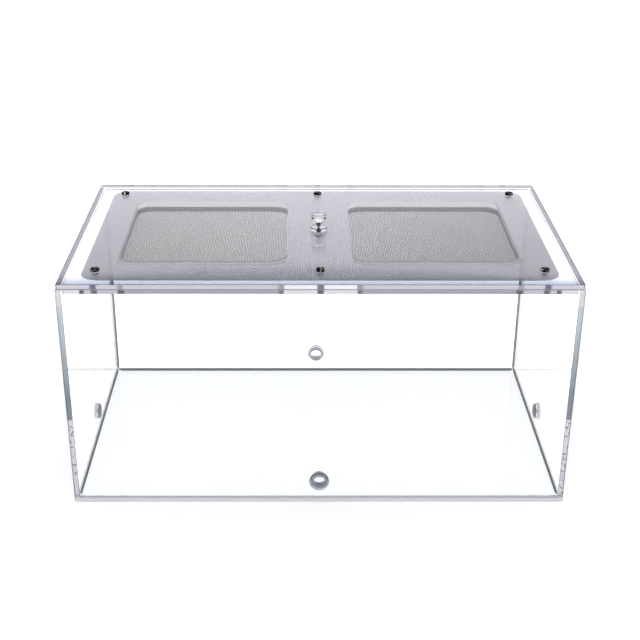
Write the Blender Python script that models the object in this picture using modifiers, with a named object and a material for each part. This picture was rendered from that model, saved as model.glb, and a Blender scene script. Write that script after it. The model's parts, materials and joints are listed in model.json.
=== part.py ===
"""Clear acrylic ant farm: a glued box with four tube bushes and a lift-off vented lid.

Metres, +Z up. The origin is the centre of the floor's underside, +X is the box's long side
and -Y is its front. The lid is two clear plates with a steel mesh clamped between them by
six screws, and a turned knob in the middle to lift it by.
"""

import math

import bmesh
import bpy
from mathutils import Matrix, Vector

# Box, outside sizes with the lid on
BOX_WIDTH = 0.300
BOX_DEPTH = 0.170
BOX_HEIGHT = 0.146
FLOOR_THICKNESS = 0.003
WALL_THICKNESS = 0.003
EDGE_BREAK = 0.0002
SEAT_GAP = 0.0003

# Lid plates
TOP_PLATE_THICKNESS = 0.003
LOWER_PLATE_THICKNESS = 0.003
LID_INSET = 0.0005
LID_CORNER_RADIUS = 0.0012
LOCATING_CLEARANCE = 0.0005

# Rails of the lid round its two vent windows, measured from the box's outside
SIDE_RAIL = 0.0305
END_RAIL = 0.0345
MIDDLE_BRIDGE = 0.039
WINDOW_CORNER_RADIUS = 0.010

# Steel mesh between the plates, a grille with a wider pitch and wires than the real weave
MESH_SIDE_MARGIN = 0.012
MESH_END_MARGIN = 0.010
MESH_THICKNESS = 0.0004
MESH_CORNER_RADIUS = 0.010
MESH_CLAMP_GAP = 0.0002
MESH_COLUMNS = 19
MESH_ROWS = 11
MESH_WIRE_WIDTH = 0.0016

# Screws, pan heads on a 3 mm thread
SCREW_RADIUS = 0.0015
SCREW_HEAD_RADIUS = 0.0027
SCREW_HEAD_HEIGHT = 0.0018
SCREW_TIP_CHAMFER = 0.0004
SCREW_HOLE_CLEARANCE = 0.0003
SCREW_INSET = 0.020
RECESS_LENGTH = 0.0030
RECESS_WIDTH = 0.0008
RECESS_DEPTH = 0.0009

# Lifting knob, turned from clear rod
KNOB_HEIGHT = 0.0120
KNOB_BASE_RADIUS = 0.0053
KNOB_WAIST_RADIUS = 0.0024
KNOB_HEAD_RADIUS = 0.0046
KNOB_THREAD_DEPTH = 0.0045
KNOB_HOLE_RELIEF = 0.0008

# Tube bushes, one in the middle of each wall near the floor
BUSH_CENTRE_HEIGHT = 0.0155
BUSH_BORE_RADIUS = 0.0038
BUSH_NECK_RADIUS = 0.0048
BUSH_FLANGE_RADIUS = 0.0060
BUSH_FLANGE_THICKNESS = 0.0020
BUSH_LIP_RADIUS = 0.0050
BUSH_LIP_THICKNESS = 0.0008
BUSH_SHOULDER_GAP = 0.0002

# Facets of round pieces and of rounded corners
BUSH_STEPS = 28
KNOB_STEPS = 32
SCREW_STEPS = 16
HOLE_STEPS = 32
SCREW_HOLE_STEPS = 16
CORNER_STEPS = 6
SHARP_ANGLE = math.radians(32)

# Heights that follow from the sizes above
WALL_BOTTOM = FLOOR_THICKNESS + SEAT_GAP
TOP_PLATE_BOTTOM = BOX_HEIGHT - TOP_PLATE_THICKNESS
WALL_TOP = TOP_PLATE_BOTTOM - SEAT_GAP
MESH_TOP = TOP_PLATE_BOTTOM - MESH_CLAMP_GAP
MESH_BOTTOM = MESH_TOP - MESH_THICKNESS
LOWER_PLATE_TOP = MESH_BOTTOM - MESH_CLAMP_GAP
LOWER_PLATE_BOTTOM = LOWER_PLATE_TOP - LOWER_PLATE_THICKNESS
SCREW_HOLE_RADIUS = SCREW_RADIUS + SCREW_HOLE_CLEARANCE

# Windows, mesh and screw places that follow from the sizes above
WINDOW_WIDTH = BOX_WIDTH / 2 - SIDE_RAIL - MIDDLE_BRIDGE / 2
WINDOW_DEPTH = BOX_DEPTH - 2 * END_RAIL
WINDOW_CENTRE_X = (MIDDLE_BRIDGE + WINDOW_WIDTH) / 2
MESH_WIDTH = BOX_WIDTH - 2 * MESH_SIDE_MARGIN
MESH_DEPTH = BOX_DEPTH - 2 * MESH_END_MARGIN
SCREW_X = BOX_WIDTH / 2 - SCREW_INSET
SCREW_Y = BOX_DEPTH / 2 - SCREW_INSET

# Colours, roughness, metallic and alpha of the materials
FINISHES = {
    "clear_acrylic": ((0.86, 0.90, 0.92, 1.0), 0.04, 0.0, 0.30),
    "clear_bush": ((0.62, 0.64, 0.70, 1.0), 0.15, 0.0, 0.60),
    "steel_mesh": ((0.60, 0.59, 0.58, 1.0), 0.45, 1.0, 1.0),
    "dark_screw": ((0.07, 0.06, 0.05, 1.0), 0.30, 1.0, 1.0),
}


def clear_scene():
    """Remove every object, so the script gives the same result each run."""
    for obj in list(bpy.data.objects):
        bpy.data.objects.remove(obj, do_unlink=True)


def new_collection(name):
    """A collection under the scene's own."""
    collection = bpy.data.collections.new(name)
    bpy.context.scene.collection.children.link(collection)
    return collection


def make_material(name):
    """A Principled material with the finish that FINISHES gives for the name."""
    colour, roughness, metallic, alpha = FINISHES[name]
    material = bpy.data.materials.new(name)
    material.use_nodes = True
    shader = material.node_tree.nodes["Principled BSDF"]
    shader.inputs["Base Color"].default_value = colour
    shader.inputs["Roughness"].default_value = roughness
    shader.inputs["Metallic"].default_value = metallic
    shader.inputs["Alpha"].default_value = alpha
    material.diffuse_color = colour[:3] + (alpha,)
    return material


def add_object(name, mesh, collection, material=None, location=(0, 0, 0)):
    """Link a named object that shows the mesh."""
    obj = bpy.data.objects.new(name, mesh)
    obj.location = location
    collection.objects.link(obj)
    if material:
        mesh.materials.clear()
        mesh.materials.append(material)
    return obj


def block_mesh(name, width, depth, height, corner_radius=0.0):
    """A block about its own centre, with its four upright edges rounded."""
    block = bmesh.new()
    bmesh.ops.create_cube(block, size=1.0)
    bmesh.ops.scale(block, vec=(width, depth, height), verts=block.verts)
    if corner_radius > 0:
        upright = [edge for edge in block.edges
                   if abs(edge.verts[0].co.z - edge.verts[1].co.z) > height / 2]
        bmesh.ops.bevel(block, geom=upright, offset=corner_radius, offset_type="OFFSET",
                        segments=CORNER_STEPS, profile=0.5, affect="EDGES")
    mesh = bpy.data.meshes.new(name)
    block.to_mesh(mesh)
    block.free()
    return mesh


def rod_mesh(name, radius, length, steps):
    """A plain cylinder along Z about its own centre."""
    rod = bmesh.new()
    bmesh.ops.create_cone(rod, cap_ends=True, segments=steps, radius1=radius,
                          radius2=radius, depth=length)
    mesh = bpy.data.meshes.new(name)
    rod.to_mesh(mesh)
    rod.free()
    return mesh


def turned_mesh(name, profile, steps, closed):
    """Turn a profile of (radius, height) points about Z with a Screw modifier.

    The points run down the outer side. A closed profile comes back up its bore.
    """
    points = [(radius, 0.0, height) for radius, height in profile]
    edges = [(i, i + 1) for i in range(len(points) - 1)]
    if closed:
        edges.append((len(points) - 1, 0))
    outline = bpy.data.meshes.new(name + "_outline")
    outline.from_pydata(points, edges, [])
    turning = add_object(name + "_turning", outline, bpy.context.scene.collection)
    screw = turning.modifiers.new("turn", "SCREW")
    screw.axis = "Z"
    screw.angle = 2 * math.pi
    screw.steps = steps
    screw.render_steps = steps
    screw.use_merge_vertices = True
    screw.merge_threshold = 0.000001
    depsgraph = bpy.context.evaluated_depsgraph_get()
    mesh = bpy.data.meshes.new_from_object(turning.evaluated_get(depsgraph))
    mesh.name = name
    bpy.data.objects.remove(turning, do_unlink=True)
    bpy.data.meshes.remove(outline)
    mesh.shade_smooth()
    mesh.set_sharp_from_angle(angle=SHARP_ANGLE)
    return mesh


def arc(centre, radius, start_deg, end_deg, steps):
    """Points of an arc in a profile, as (radius, height), ends included."""
    points = []
    for i in range(steps + 1):
        angle = math.radians(start_deg + (end_deg - start_deg) * i / steps)
        points.append((centre[0] + radius * math.cos(angle), centre[1] + radius * math.sin(angle)))
    return points


def add_cutter(name, mesh, collection, location, rotation=None):
    """A cutter that neither renders nor counts as a piece."""
    cutter = add_object(name, mesh, collection)
    turn = rotation.to_4x4() if rotation else Matrix.Identity(4)
    cutter.matrix_world = Matrix.Translation(location) @ turn
    cutter.hide_render = True
    cutter.display_type = "WIRE"
    return cutter


def cut(obj, cutters):
    """Take the cutters away from the piece, one Boolean modifier each."""
    for cutter in cutters:
        boolean = obj.modifiers.new("cut_" + cutter.name, "BOOLEAN")
        boolean.operation = "DIFFERENCE"
        boolean.solver = "EXACT"
        boolean.object = cutter


def break_edges(obj):
    """The small chamfer that a sheet's sawn edges are given."""
    bevel = obj.modifiers.new("edge_break", "BEVEL")
    bevel.width = EDGE_BREAK
    bevel.segments = 1
    bevel.limit_method = "ANGLE"
    bevel.angle_limit = math.radians(50)


def facing(direction):
    """Rotation that turns +Z to the direction, which lies along X or Y."""
    return Vector((0, 0, 1)).rotation_difference(Vector(direction)).to_matrix()


def wall_sites():
    """Name, outward direction and the middle of the bush hole, for each wall."""
    side = BOX_WIDTH / 2 - WALL_THICKNESS / 2
    end = BOX_DEPTH / 2 - WALL_THICKNESS / 2
    return {
        "front": ((0, -1, 0), (0, -end, BUSH_CENTRE_HEIGHT)),
        "back": ((0, 1, 0), (0, end, BUSH_CENTRE_HEIGHT)),
        "left": ((-1, 0, 0), (-side, 0, BUSH_CENTRE_HEIGHT)),
        "right": ((1, 0, 0), (side, 0, BUSH_CENTRE_HEIGHT)),
    }


def build_floor(parts, material):
    """Floor panel, full size, with the walls standing on it."""
    mesh = block_mesh("floor_panel", BOX_WIDTH, BOX_DEPTH, FLOOR_THICKNESS)
    floor = add_object("floor_panel", mesh, parts, material, (0, 0, FLOOR_THICKNESS / 2))
    break_edges(floor)


def build_walls(parts, cutters, material):
    """Front and back walls run the full width, and the side walls stand between them."""
    height = WALL_TOP - WALL_BOTTOM
    middle = (WALL_TOP + WALL_BOTTOM) / 2
    between = BOX_DEPTH - 2 * (WALL_THICKNESS + SEAT_GAP)
    hole_radius = BUSH_NECK_RADIUS + SEAT_GAP
    for side, (outward, site) in wall_sites().items():
        if side in ("front", "back"):
            size = (BOX_WIDTH, WALL_THICKNESS, height)
        else:
            size = (WALL_THICKNESS, between, height)
        name = side + "_wall"
        wall = add_object(name, block_mesh(name, *size), parts, material,
                          (site[0], site[1], middle))
        break_edges(wall)
        hole = rod_mesh(side + "_bush_hole", hole_radius, 3 * WALL_THICKNESS, HOLE_STEPS)
        cut(wall, [add_cutter(hole.name, hole, cutters, site, facing(outward))])


def bush_profile():
    """Outline of a bush about the middle of its wall, outward side up."""
    shoulder = WALL_THICKNESS / 2 + BUSH_SHOULDER_GAP
    face = shoulder + BUSH_FLANGE_THICKNESS
    end = shoulder + BUSH_LIP_THICKNESS
    rim = 0.35 * BUSH_FLANGE_THICKNESS
    lip = BUSH_LIP_THICKNESS / 2
    mouth = BUSH_LIP_THICKNESS / 3
    points = [(BUSH_BORE_RADIUS, face - mouth), (BUSH_BORE_RADIUS + mouth, face)]
    points += arc((BUSH_FLANGE_RADIUS - rim, face - rim), rim, 90, 0, 3)
    points += [(BUSH_FLANGE_RADIUS, shoulder), (BUSH_NECK_RADIUS, shoulder)]
    points += [(BUSH_NECK_RADIUS, -shoulder), (BUSH_LIP_RADIUS, -shoulder)]
    points += arc((BUSH_LIP_RADIUS - lip, lip - end), lip, 0, -90, 3)
    points += [(BUSH_BORE_RADIUS + mouth, -end), (BUSH_BORE_RADIUS, mouth - end)]
    return points


def build_bushes(parts, material):
    """Four tube bushes, with a thick flange outside and a small lip inside."""
    for side, (outward, site) in wall_sites().items():
        name = side + "_tube_bush"
        mesh = turned_mesh(name, bush_profile(), BUSH_STEPS, closed=True)
        bush = add_object(name, mesh, parts, material)
        bush.matrix_world = Matrix.Translation(site) @ facing(outward).to_4x4()


def screw_places():
    """Name and place of each lid screw, front row first."""
    places = {}
    for row, y in (("front", -SCREW_Y), ("back", SCREW_Y)):
        for column, x in (("left", -SCREW_X), ("middle", 0.0), ("right", SCREW_X)):
            places[row + "_" + column + "_screw"] = (x, y)
    return places


def lid_cutters(cutters):
    """Window and screw-hole cutters that run through the whole lid."""
    length = 4 * (BOX_HEIGHT - LOWER_PLATE_BOTTOM)
    middle = (BOX_HEIGHT + LOWER_PLATE_BOTTOM) / 2
    windows = []
    for side, sign in (("left", -1), ("right", 1)):
        mesh = block_mesh(side + "_window", WINDOW_WIDTH, WINDOW_DEPTH, length,
                          WINDOW_CORNER_RADIUS)
        windows.append(add_cutter(mesh.name, mesh, cutters, (sign * WINDOW_CENTRE_X, 0, middle)))
    holes = []
    sites = dict(screw_places(), knob_screw=(0.0, 0.0))
    for name, (x, y) in sites.items():
        mesh = rod_mesh(name + "_hole", SCREW_HOLE_RADIUS, length, SCREW_HOLE_STEPS)
        holes.append(add_cutter(mesh.name, mesh, cutters, (x, y, middle)))
    return windows, holes


def build_plates(parts, material, windows, holes):
    """Top plate that rests on the walls, and the lower plate that drops between them."""
    lower_inset = WALL_THICKNESS + LOCATING_CLEARANCE
    plates = (
        ("lid_top_plate", LID_INSET, TOP_PLATE_THICKNESS, TOP_PLATE_BOTTOM),
        ("lid_lower_plate", lower_inset, LOWER_PLATE_THICKNESS, LOWER_PLATE_BOTTOM),
    )
    for name, inset, thickness, bottom in plates:
        mesh = block_mesh(name, BOX_WIDTH - 2 * inset, BOX_DEPTH - 2 * inset, thickness,
                          LID_CORNER_RADIUS)
        plate = add_object(name, mesh, parts, material, (0, 0, bottom + thickness / 2))
        break_edges(plate)
        cut(plate, windows + holes)


def build_mesh_sheet(parts, material, holes):
    """Flat steel net with rounded corners, cut clear of the screws."""
    net = bmesh.new()
    bmesh.ops.create_grid(net, x_segments=MESH_COLUMNS, y_segments=MESH_ROWS, size=0.5)
    bmesh.ops.scale(net, vec=(MESH_WIDTH, MESH_DEPTH, 1), verts=net.verts)
    cell = min(MESH_WIDTH / MESH_COLUMNS, MESH_DEPTH / MESH_ROWS)
    corners = [vert for vert in net.verts if len(vert.link_edges) == 2]
    bmesh.ops.bevel(net, geom=corners, offset=min(MESH_CORNER_RADIUS, 0.9 * cell),
                    offset_type="OFFSET", segments=CORNER_STEPS, profile=0.5, affect="VERTICES")
    gaps = list(net.faces)
    bmesh.ops.inset_individual(net, faces=gaps, thickness=MESH_WIRE_WIDTH / 2,
                               use_even_offset=True)
    bmesh.ops.delete(net, geom=gaps, context="FACES")
    mesh = bpy.data.meshes.new("mesh_sheet")
    net.to_mesh(mesh)
    net.free()
    sheet = add_object("mesh_sheet", mesh, parts, material, (0, 0, MESH_TOP))
    solidify = sheet.modifiers.new("thickness", "SOLIDIFY")
    solidify.thickness = MESH_THICKNESS
    solidify.offset = -1
    cut(sheet, holes)


def screw_profile(length):
    """Pan head above Z=0 and a plain shank of the given length below it."""
    crown = SCREW_HEAD_HEIGHT
    tip = SCREW_RADIUS - SCREW_TIP_CHAMFER
    return [
        (0.0, crown),
        (0.45 * SCREW_HEAD_RADIUS, 0.96 * crown),
        (0.75 * SCREW_HEAD_RADIUS, 0.80 * crown),
        (0.94 * SCREW_HEAD_RADIUS, 0.48 * crown),
        (SCREW_HEAD_RADIUS, 0.12 * crown),
        (0.97 * SCREW_HEAD_RADIUS, 0.0),
        (SCREW_RADIUS, 0.0),
        (SCREW_RADIUS, SCREW_TIP_CHAMFER - length),
        (tip, -length),
        (0.0, -length),
    ]


def add_screw(name, parts, cutters, material, mesh, turn, head_seat):
    """A screw whose head bears on the seat, with a cross recess in its crown."""
    screw = add_object(name, mesh, parts, material)
    screw.matrix_world = Matrix.Translation(head_seat) @ turn.to_4x4()
    recesses = []
    for i in range(2):
        size = (RECESS_LENGTH, RECESS_WIDTH) if i == 0 else (RECESS_WIDTH, RECESS_LENGTH)
        slot = block_mesh(name + "_recess_" + str(i), size[0], size[1], 2 * RECESS_DEPTH)
        place = Vector(head_seat) + turn @ Vector((0, 0, SCREW_HEAD_HEIGHT))
        recesses.append(add_cutter(slot.name, slot, cutters, place, turn))
    cut(screw, recesses)


def build_lid_screws(parts, cutters, material):
    """Six screws that clamp the plates and end flush with the lower one."""
    seat = BOX_HEIGHT + SEAT_GAP
    length = seat - LOWER_PLATE_BOTTOM
    for name, (x, y) in screw_places().items():
        mesh = turned_mesh(name, screw_profile(length), SCREW_STEPS, closed=False)
        add_screw(name, parts, cutters, material, mesh, Matrix.Identity(3), (x, y, seat))


def build_knob(parts, cutters, material):
    """Turned knob with a waist, on a screw that comes up through both plates."""
    shoulder = 0.25 * KNOB_HEIGHT
    waist = 0.44 * KNOB_HEIGHT
    chin = 0.60 * KNOB_HEIGHT
    crown = 0.38 * KNOB_HEAD_RADIUS
    edge = KNOB_HEAD_RADIUS / 8
    rim = KNOB_BASE_RADIUS / 4
    foot = KNOB_BASE_RADIUS / 12
    profile = [(0.0, KNOB_HEIGHT), (KNOB_HEAD_RADIUS - crown, KNOB_HEIGHT)]
    profile += arc((KNOB_HEAD_RADIUS - crown, KNOB_HEIGHT - crown), crown, 72, 0, 5)
    profile += [(KNOB_HEAD_RADIUS, chin + edge), (KNOB_HEAD_RADIUS - edge, chin)]
    profile += waist_curve(chin, waist, shoulder)
    profile += arc((KNOB_BASE_RADIUS - rim, shoulder - rim), rim, 70, 0, 4)
    profile += [(KNOB_BASE_RADIUS, foot), (KNOB_BASE_RADIUS - foot, 0.0), (0.0, 0.0)]
    base = BOX_HEIGHT + SEAT_GAP
    mesh = turned_mesh("lid_knob", profile, KNOB_STEPS, closed=False)
    knob = add_object("lid_knob", mesh, parts, material, (0, 0, base))
    depth = KNOB_THREAD_DEPTH + KNOB_HOLE_RELIEF
    hole = rod_mesh("knob_thread", SCREW_HOLE_RADIUS, 2 * depth, SCREW_HOLE_STEPS)
    cut(knob, [add_cutter(hole.name, hole, cutters, (0, 0, base))])


def waist_curve(chin, waist, shoulder):
    """Points of the knob's waist, from under its head down to its base."""
    points = []
    steps = 8
    for i in range(1, steps + 1):
        share = i / (steps + 1)
        height = chin + (shoulder - chin) * share
        if height > waist:
            reach = (height - waist) / (chin - waist)
            outer = KNOB_HEAD_RADIUS - KNOB_HEAD_RADIUS / 8
        else:
            reach = (waist - height) / (waist - shoulder)
            outer = KNOB_BASE_RADIUS - KNOB_BASE_RADIUS / 8
        swell = 1 - math.sqrt(max(0.0, 1 - reach * reach))
        points.append((KNOB_WAIST_RADIUS + (outer - KNOB_WAIST_RADIUS) * swell, height))
    return points


def build_knob_screw(parts, cutters, material):
    """The knob's screw, head down under the lower plate."""
    seat = LOWER_PLATE_BOTTOM - SEAT_GAP
    length = BOX_HEIGHT + SEAT_GAP + KNOB_THREAD_DEPTH - seat
    mesh = turned_mesh("knob_screw", screw_profile(length), SCREW_STEPS, closed=False)
    turn = Matrix.Rotation(math.pi, 3, "X")
    add_screw("knob_screw", parts, cutters, material, mesh, turn, (0, 0, seat))


def main():
    """Build every piece of the ant farm."""
    clear_scene()
    parts = new_collection("ant_farm")
    cutters = new_collection("ant_farm_cutters")
    finish = {name: make_material(name) for name in FINISHES}
    build_floor(parts, finish["clear_acrylic"])
    build_walls(parts, cutters, finish["clear_acrylic"])
    build_bushes(parts, finish["clear_bush"])
    windows, holes = lid_cutters(cutters)
    build_plates(parts, finish["clear_acrylic"], windows, holes)
    build_mesh_sheet(parts, finish["steel_mesh"], holes)
    build_lid_screws(parts, cutters, finish["dark_screw"])
    build_knob(parts, cutters, finish["clear_acrylic"])
    build_knob_screw(parts, cutters, finish["dark_screw"])


main()
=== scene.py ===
"""Looks of the clear ant farm: acrylic panels, woven steel mesh, screws, knob and tube bushes.

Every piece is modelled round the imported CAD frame, in metres, and rides on the box or the lid.
"""

import json
import math

import bpy
from mathutils import Matrix, Vector

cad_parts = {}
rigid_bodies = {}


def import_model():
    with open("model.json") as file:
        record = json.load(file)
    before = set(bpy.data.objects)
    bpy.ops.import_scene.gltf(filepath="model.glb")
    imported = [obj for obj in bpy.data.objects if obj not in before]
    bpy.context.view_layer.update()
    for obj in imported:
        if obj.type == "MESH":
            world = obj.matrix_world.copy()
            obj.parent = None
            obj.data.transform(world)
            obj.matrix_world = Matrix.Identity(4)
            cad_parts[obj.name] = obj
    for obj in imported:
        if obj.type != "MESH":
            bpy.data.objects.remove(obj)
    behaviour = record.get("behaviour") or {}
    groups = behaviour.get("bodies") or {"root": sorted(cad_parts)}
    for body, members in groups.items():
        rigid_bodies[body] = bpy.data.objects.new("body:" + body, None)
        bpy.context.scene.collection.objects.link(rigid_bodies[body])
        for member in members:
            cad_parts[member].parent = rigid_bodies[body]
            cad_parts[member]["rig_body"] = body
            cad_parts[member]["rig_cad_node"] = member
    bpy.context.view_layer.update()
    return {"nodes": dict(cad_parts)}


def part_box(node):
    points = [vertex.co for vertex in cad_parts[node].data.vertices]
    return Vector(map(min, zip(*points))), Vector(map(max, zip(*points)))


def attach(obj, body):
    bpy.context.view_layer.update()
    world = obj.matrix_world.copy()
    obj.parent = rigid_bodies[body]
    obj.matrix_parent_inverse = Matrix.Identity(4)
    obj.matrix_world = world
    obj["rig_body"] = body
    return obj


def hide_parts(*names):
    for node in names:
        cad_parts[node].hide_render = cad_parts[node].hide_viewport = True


bl_info = {
    "name": "Vented ant farm",
    "version": (1, 0, 0),
    "blender": (4, 5, 0),
    "location": "View3D > Sidebar > Ant farm",
    "description": "Builds the looks of a clear ant farm with a vented lid",
    "category": "Object",
}

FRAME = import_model()

BOX_LOW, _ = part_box("floor_panel")
WALL_LOW, WALL_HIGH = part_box("left_wall")
SHEET_LOW, SHEET_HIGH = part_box("mesh_sheet")
SCREW_LOW, SCREW_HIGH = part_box("front_left_screw")
KNOB_LOW, KNOB_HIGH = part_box("lid_knob")
KNOB_SCREW_LOW, KNOB_SCREW_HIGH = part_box("knob_screw")

WINDOW_MIDDLE = 0.070
WINDOW_HALF_WIDTH = 0.050
WINDOW_HALF_DEPTH = 0.0505
PHOTO_WIDTH = 640

SIDES = {
    "front": (0, -1, 0),
    "back": (0, 1, 0),
    "left": (-1, 0, 0),
    "right": (1, 0, 0),
}
LID_SCREWS = [row + "_" + column + "_screw"
              for row in ("front", "back") for column in ("left", "middle", "right")]


class Value:
    """A shader socket that adds Math nodes when it is used in a Python expression."""

    def __init__(self, tree, socket):
        self.tree = tree
        self.socket = socket

    def maths(self, operation, *terms):
        node = self.tree.add("ShaderNodeMath", {"operation": operation}, *terms)
        return Value(self.tree, node.outputs[0])

    def __add__(self, other):
        return self.maths("ADD", self, other)

    def __radd__(self, other):
        return self.maths("ADD", other, self)

    def __sub__(self, other):
        return self.maths("SUBTRACT", self, other)

    def __rsub__(self, other):
        return self.maths("SUBTRACT", other, self)

    def __mul__(self, other):
        return self.maths("MULTIPLY", self, other)

    def __abs__(self):
        return self.maths("ABSOLUTE", self)

    def __gt__(self, other):
        return self.maths("GREATER_THAN", self, other)

    def __lt__(self, other):
        return self.maths("LESS_THAN", self, other)

    def most(self, other):
        """The larger of the two."""
        return self.maths("MAXIMUM", self, other)


class NodeTree:
    """Adds nodes to the tree of a material or of the world."""

    def __init__(self, owner):
        self.owner = owner
        owner.use_nodes = True
        self.tree = owner.node_tree
        self.tree.nodes.clear()

    def add(self, kind, settings=None, *inputs, **named_inputs):
        """A node with its settings made first, then the values or links of its sockets."""
        node = self.tree.nodes.new(kind)
        for name, value in (settings or {}).items():
            if name == "stops":
                self.set_stops(node.color_ramp, value)
            else:
                setattr(node, name, value)
        sockets = list(enumerate(inputs))
        sockets += [(name.replace("_", " "), value) for name, value in named_inputs.items()]
        for key, value in sockets:
            if isinstance(value, Value):
                self.tree.links.new(value.socket, node.inputs[key])
            elif isinstance(value, bpy.types.NodeSocket):
                self.tree.links.new(value, node.inputs[key])
            else:
                node.inputs[key].default_value = value
        return node

    def noise(self, place, scale, detail):
        """Strength of a noise pattern."""
        pattern = self.add("ShaderNodeTexNoise", None, Vector=place, Scale=scale, Detail=detail)
        return self.value(pattern.outputs[0])

    def parts(self, vector):
        """The X, Y and Z of a vector."""
        split = self.add("ShaderNodeSeparateXYZ", None, vector)
        return [self.value(socket) for socket in split.outputs]

    def mixed_colour(self, share, first, second, blend="MIX"):
        """Colour socket that goes from the first colour or link to the second."""
        node = self.add("ShaderNodeMix", {"data_type": "RGBA", "blend_type": blend})
        for index, value in ((0, share), (6, first), (7, second)):
            if isinstance(value, Vector):
                node.inputs[index].default_value = (*value, 1)
            else:
                link = value.socket if isinstance(value, Value) else value
                self.tree.links.new(link, node.inputs[index])
        return node.outputs[2]

    def set_stops(self, ramp, stops):
        """Give a colour ramp its stops, as pairs of position and colour."""
        while len(ramp.elements) > 1:
            ramp.elements.remove(ramp.elements[-1])
        for index, (position, colour) in enumerate(stops):
            element = ramp.elements[0] if index == 0 else ramp.elements.new(position)
            element.position = position
            element.color = colour

    def value(self, socket):
        return Value(self, socket)

    def finish(self, **sockets):
        """Close the tree with a Principled shader, and give back its material."""
        shader = self.add("ShaderNodeBsdfPrincipled", None, **sockets)
        self.add("ShaderNodeOutputMaterial", None, shader.outputs[0])
        return self.owner


def start_material(name):
    """A new material's tree, with the socket for the place on the piece."""
    tree = NodeTree(bpy.data.materials.new(name))
    return tree, tree.add("ShaderNodeTexCoord").outputs["Object"]


def clear_selection():
    """Leave edit mode with nothing selected."""
    if bpy.context.object and bpy.context.object.mode != "OBJECT":
        bpy.ops.object.mode_set(mode="OBJECT")
    bpy.ops.object.select_all(action="DESELECT")


def pick(*objects):
    """Select the objects, the last one active."""
    clear_selection()
    for obj in objects:
        obj.select_set(True)
    bpy.context.view_layer.objects.active = objects[-1]


def settle(obj):
    """Put the piece's place into its mesh, so its object sits at the origin."""
    pick(obj)
    bpy.ops.object.transform_apply(location=True, rotation=True, scale=True)
    return obj


def select_faces(obj, chosen):
    """Select just the faces that the function picks by their middle and normal."""
    mesh = obj.data
    for vertex in mesh.vertices:
        vertex.select = False
    for edge in mesh.edges:
        edge.select = False
    for polygon in mesh.polygons:
        polygon.select = chosen(polygon.center, polygon.normal)
    pick(obj)
    bpy.context.scene.tool_settings.mesh_select_mode = (False, False, True)
    bpy.ops.object.mode_set(mode="EDIT")


def edit_all(obj):
    """Open the piece in edit mode with all of it selected."""
    pick(obj)
    bpy.ops.object.mode_set(mode="EDIT")
    bpy.ops.mesh.select_all(action="SELECT")


def leave_edit_mode():
    """Back to object mode, with vertex selection on for the next piece."""
    bpy.ops.object.mode_set(mode="OBJECT")
    bpy.context.scene.tool_settings.mesh_select_mode = (True, False, False)


def recalculate_normals(obj):
    """Merge doubles and turn every face outwards."""
    edit_all(obj)
    bpy.ops.mesh.remove_doubles(threshold=0.000002)
    bpy.ops.mesh.normals_make_consistent(inside=False)
    bpy.ops.object.mode_set(mode="OBJECT")


def apply_modifiers(obj):
    """Apply the piece's modifiers in their order."""
    pick(obj)
    for modifier in list(obj.modifiers):
        bpy.ops.object.modifier_apply(modifier=modifier.name)


def turn_piece(name, profile, steps, closed=False):
    """Turn a ring upwards through the profile's (radius, height) points, as on a lathe.

    A closed profile joins its last ring to its first, which leaves a bore. Otherwise both
    ends are closed with a cap.
    """
    clear_selection()
    radius, height = profile[0]
    bpy.ops.mesh.primitive_circle_add(vertices=steps, radius=radius, location=(0, 0, height),
                                      fill_type="NOTHING" if closed else "NGON")
    piece = bpy.context.object
    piece.name = name
    piece.data.name = name
    bpy.ops.object.transform_apply(location=True, rotation=False, scale=False)
    edit_all(piece)
    for (old_radius, old_height), (radius, height) in zip(profile, profile[1:]):
        share = radius / old_radius
        if closed:
            bpy.ops.mesh.extrude_edges_move()
        else:
            bpy.ops.mesh.extrude_region_move()
        bpy.ops.transform.resize(value=(share, share, 1), center_override=(0, 0, 0))
        bpy.ops.transform.translate(value=(0, 0, height - old_height))
    if closed:
        bpy.ops.mesh.extrude_edges_move()
        share = profile[0][0] / profile[-1][0]
        bpy.ops.transform.resize(value=(share, share, 1), center_override=(0, 0, 0))
        bpy.ops.transform.translate(value=(0, 0, profile[0][1] - profile[-1][1]))
    bpy.ops.object.mode_set(mode="OBJECT")
    recalculate_normals(piece)
    return piece


def round_corner(centre, radius, start, end, steps):
    """Profile points of an arc, from the start to the end angle in degrees."""
    points = []
    for index in range(steps + 1):
        angle = math.radians(start + (end - start) * index / steps)
        points.append((centre[0] + radius * math.cos(angle),
                       centre[1] + radius * math.sin(angle)))
    return points


def smooth(obj, angle):
    """Shade the piece smooth, with edges sharper than the angle left crisp."""
    pick(obj)
    bpy.ops.object.shade_smooth_by_angle(angle=math.radians(angle))


def copy_piece(piece, name, move):
    """A copy with its own mesh, moved and settled."""
    pick(piece)
    bpy.ops.object.duplicate(linked=False)
    twin = bpy.context.object
    twin.name = name
    twin.data.name = name
    twin.location = Vector(move)
    return settle(twin)


def give_materials(obj, *materials):
    """The piece's materials, with every face in the first."""
    obj.data.materials.clear()
    for material in materials:
        obj.data.materials.append(material)


def fill_slot(obj, index, chosen):
    """Give the faces that the function picks the material in the slot."""
    select_faces(obj, chosen)
    obj.active_material_index = index
    bpy.ops.object.material_slot_assign()
    leave_edit_mode()


def combine(obj, other, operation):
    """Apply an exact boolean with the other piece, which is then deleted."""
    step = obj.modifiers.new(operation.lower(), "BOOLEAN")
    step.operation = operation
    step.solver = "EXACT"
    step.object = other
    apply_modifiers(obj)
    bpy.data.objects.remove(other, do_unlink=True)


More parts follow.
